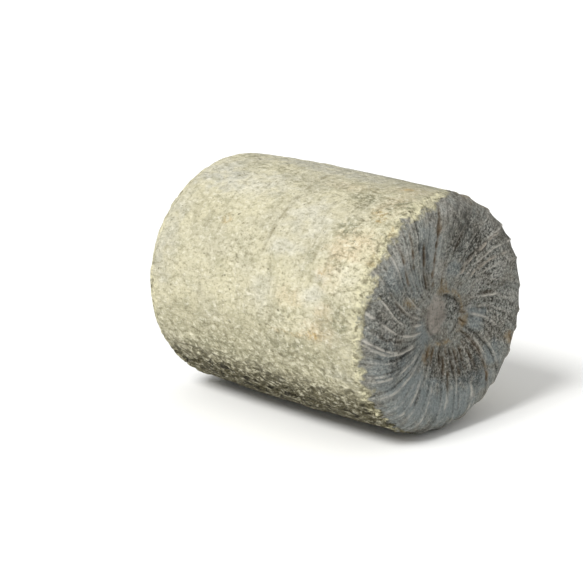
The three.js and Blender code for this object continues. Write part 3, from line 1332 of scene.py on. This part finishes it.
@dataclass(frozen=True)
class NaturalRind:
    """The cheese's skin: dry, crumbly natural rind on the side, and velvety mould on the ends.

    Attributes:
        rind: The side's coat.
        mould: The ends' coat.
        roughness: Of the whole skin. It has no gloss.
        specular: Specular level of the whole skin.
        ragged: How far the mould's edge strays within a few millimetres.
        soft: How wide that edge is.
    """

    rind: Coat = RIND_COAT
    mould: Coat = MOULD_COAT
    roughness: float = 0.92
    specular: float = 0.2
    ragged: float = 8.0
    soft: float = 1.5

    def make(self, rim: float) -> bpy.types.Material:
        """Builds the material.

        Args:
            rim: Radius of the drum's rim, in millimetres.

        Returns:
            The material, which reads the masks that `CheeseDrum` stores.
        """
        material = bpy.data.materials.new("dry_natural_rind")
        material.use_nodes = True
        tree = material.node_tree
        tree.nodes.clear()
        values = self.lay_patterns(tree, rim)
        depth = add_node(tree, "ShaderNodeAttribute", attribute_name=Mask.DEPTH.value).outputs["Fac"]
        strays = {0: values[Texture.CRUMBS], 3: -self.ragged / 2, 4: self.ragged / 2}
        stray = add_node(tree, "ShaderNodeMapRange", strays).outputs[0]
        edge = add_node(tree, "ShaderNodeMath", {0: stray, 1: depth}).outputs[0]
        values[Texture.EDGE] = edge
        limits = {0: edge, 1: -self.soft, 2: self.soft}
        covered = add_node(tree, "ShaderNodeMapRange", limits, interpolation_type="SMOOTHSTEP").outputs[0]
        rind, rind_height = self.lay_coat(tree, self.rind, values)
        mould, mould_height = self.lay_coat(tree, self.mould, values)
        colour = add_node(tree, "ShaderNodeMix", {0: covered, 6: rind, 7: mould}, data_type="RGBA").outputs[2]
        height = add_node(tree, "ShaderNodeMix", {0: covered, 2: rind_height, 3: mould_height}).outputs[0]
        bump = add_node(tree, "ShaderNodeBump", {"Height": height, "Distance": MM})
        skin = {"Base Color": colour, "Roughness": self.roughness, "Normal": bump.outputs[0]}
        skin["Specular IOR Level"] = self.specular
        shader = add_node(tree, "ShaderNodeBsdfPrincipled", skin)
        add_node(tree, "ShaderNodeOutputMaterial", {"Surface": shader.outputs[0]})
        return material

    def lay_patterns(self, tree: bpy.types.NodeTree, rim: float) -> dict[Texture, bpy.types.NodeSocket]:
        """Adds the noise of every pattern.

        Args:
            tree: The material's node tree.
            rim: Radius of the drum's rim, in millimetres.

        Returns:
            Each pattern's output.
        """
        runs = {
            Run.BODY: (add_node(tree, "ShaderNodeTexCoord").outputs["Object"], 1 / MM),
            Run.FOLDS: (add_node(tree, "ShaderNodeAttribute", attribute_name=FLOW).outputs["Vector"], rim),
        }
        values = {}
        for texture in Texture:
            if texture is Texture.EDGE:
                continue
            pattern = texture.value
            places, unit = runs[pattern.run]
            scale = [unit / (pattern.size * longer) for longer in pattern.stretch]
            mapped = add_node(tree, "ShaderNodeMapping", {"Vector": places, "Scale": scale}).outputs[0]
            shape = {"Vector": mapped, "Scale": 1.0, "Detail": pattern.detail, "Roughness": pattern.rough}
            shape["Distortion"] = pattern.warp
            values[texture] = add_node(tree, "ShaderNodeTexNoise", shape).outputs["Fac"]
        return values

    def lay_coat(
        self, tree: bpy.types.NodeTree, coat: Coat, values: dict[Texture, bpy.types.NodeSocket]
    ) -> tuple[bpy.types.NodeSocket, bpy.types.NodeSocket]:
        """Lays a coat's layers over one another and adds up its relief.

        Args:
            tree: The material's node tree.
            coat: The coat.
            values: Each pattern's output.

        Returns:
            The coat's colour, and its height in millimetres.
        """
        colour: Any = linear(coat.base)
        for layer in coat.layers:
            share: Any = layer.most
            if layer.pattern:
                limits = {0: values[layer.pattern], 1: layer.start, 2: layer.full, 4: layer.most}
                share = add_node(tree, "ShaderNodeMapRange", limits).outputs[0]
            if layer.mask:
                mask = add_node(tree, "ShaderNodeAttribute", attribute_name=layer.mask.value).outputs["Fac"]
                share = add_node(tree, "ShaderNodeMath", {0: share, 1: mask}, operation="MULTIPLY").outputs[0]
            mixed = {0: share, 6: colour, 7: linear(layer.colour)}
            colour = add_node(tree, "ShaderNodeMix", mixed, data_type="RGBA").outputs[2]
        height: Any = 0.0
        for texture, amount in coat.relief.items():
            raised = {0: values[texture], 1: amount, 2: height}
            height = add_node(tree, "ShaderNodeMath", raised, operation="MULTIPLY_ADD").outputs[0]
        return colour, height


# Uncoated paper is matt and nearly white, so it shows the cheese's soft shadow and no reflection.
@dataclass(frozen=True)
class PaperSweep:
    """The matt white paper that the cheese lies on.

    Attributes:
        colour: Its colour.
        roughness: It has no gloss.
        size: Length of its sides, in metres, so that no edge shows.
        drop: How far it lies below the cheese, in millimetres, so that the two don't share a plane.
    """

    colour: str = "#fbfbf9"
    roughness: float = 0.95
    size: float = 40.0
    drop: float = 0.2

    def build(self) -> bpy.types.Object:
        """Lays the paper just under the cheese.

        Returns:
            The floor.
        """
        bpy.ops.object.select_all(action="DESELECT")
        bpy.ops.mesh.primitive_plane_add(size=self.size, location=(0, 0, -self.drop * MM))
        floor = bpy.context.object
        floor.name = "paper_sweep"
        material = bpy.data.materials.new("matt_white_paper")
        material.use_nodes = True
        shader = material.node_tree.nodes["Principled BSDF"]
        shader.inputs["Base Color"].default_value = linear(self.colour)
        shader.inputs["Roughness"].default_value = self.roughness
        floor.data.materials.append(material)
        return floor


def towards(azimuth: float, elevation: float) -> Vector:
    """Finds the direction from the object to something round it.

    Args:
        azimuth: Degrees round the object, 0 towards -Y and 90 towards +X.
        elevation: Degrees above the horizon.

    Returns:
        The direction, of length 1.
    """
    turn, tilt = math.radians(azimuth), math.radians(elevation)
    return Vector((math.sin(turn) * math.cos(tilt), -math.cos(turn) * math.cos(tilt), math.sin(tilt)))


@dataclass(frozen=True)
class Studio:
    """A camera with a long lens, a soft key light and the light of a white room.

    Attributes:
        azimuth: Where the camera stands round the object, in degrees.
        elevation: Its height over the horizon, in degrees.
        distance: From what it aims at, in millimetres.
        lens: Its focal length, in millimetres.
        aside: How far it aims to the right of the drum's middle.
        above: How far it aims above the middle of the drum's height.
        key_azimuth: Where the key light stands.
        key_elevation: Its height over the horizon, in degrees.
        key_strength: Its strength, in watts per square metre.
        key_softness: How wide it looks from the object, in degrees.
        room_strength: Strength of the white room's light.
    """

    azimuth: float = 44.2
    elevation: float = 15.3
    distance: float = 1073.0
    lens: float = 118.2
    aside: float = -23.7
    above: float = -2.0
    key_azimuth: float = 2.0
    key_elevation: float = 47.0
    key_strength: float = 2.7
    key_softness: float = 22.0
    room_strength: float = 0.62

    def add_camera(self, axis_height: float) -> bpy.types.Object:
        """Sets up the camera and makes it the scene's.

        Args:
            axis_height: Height of the drum's axis over the paper, in millimetres.

        Returns:
            The camera.
        """
        back = towards(self.azimuth, self.elevation)
        right = (-back).cross(Vector((0, 0, 1))).normalized()
        aim = Vector((0, 0, axis_height)) + self.aside * right + self.above * right.cross(-back)
        bpy.ops.object.camera_add(location=(aim + back * self.distance) * MM)
        camera = bpy.context.object
        camera.rotation_euler = (-back).to_track_quat("-Z", "Y").to_euler()
        camera.data.lens = self.lens
        bpy.context.scene.camera = camera
        return camera

    def add_lights(self) -> None:
        """Adds the soft key light and the white room round it."""
        to_key = towards(self.key_azimuth, self.key_elevation)
        bpy.ops.object.light_add(type="SUN", location=to_key)
        key = bpy.context.object
        key.name = "key_light"
        key.rotation_euler = (-to_key).to_track_quat("-Z", "Y").to_euler()
        key.data.energy = self.key_strength
        key.data.angle = math.radians(self.key_softness)
        world = bpy.data.worlds.new("white_room")
        world.use_nodes = True
        light = world.node_tree.nodes["Background"]
        light.inputs["Color"].default_value = linear("#ffffff")
        light.inputs["Strength"].default_value = self.room_strength
        bpy.context.scene.world = world
        bpy.context.scene.view_settings.view_transform = "Standard"


def main() -> None:
    """Builds the cheese, its finish and the studio, in that order."""
    logging.basicConfig(level=logging.INFO, format="%(name)s: %(message)s")
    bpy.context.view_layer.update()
    size = DrumFrame.from_cad(*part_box(CAD_NODE))
    LOG.info("drum %.1f mm long between its crests, radius %.1f mm", 2 * size.half_length, size.radius)
    cheese = CheeseDrum(size)
    drum = cheese.build()
    cheese.dress(drum, NaturalRind())
    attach(drum, "root")
    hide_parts(CAD_NODE)
    LOG.info("%s: %d points, %d faces", drum.name, len(drum.data.vertices), len(drum.data.polygons))
    floor = PaperSweep().build()
    studio = Studio()
    camera = studio.add_camera(size.height)
    studio.add_lights()
    LOG.info("%s and %s are set", floor.name, camera.name)


if __name__ == "__main__":
    main()
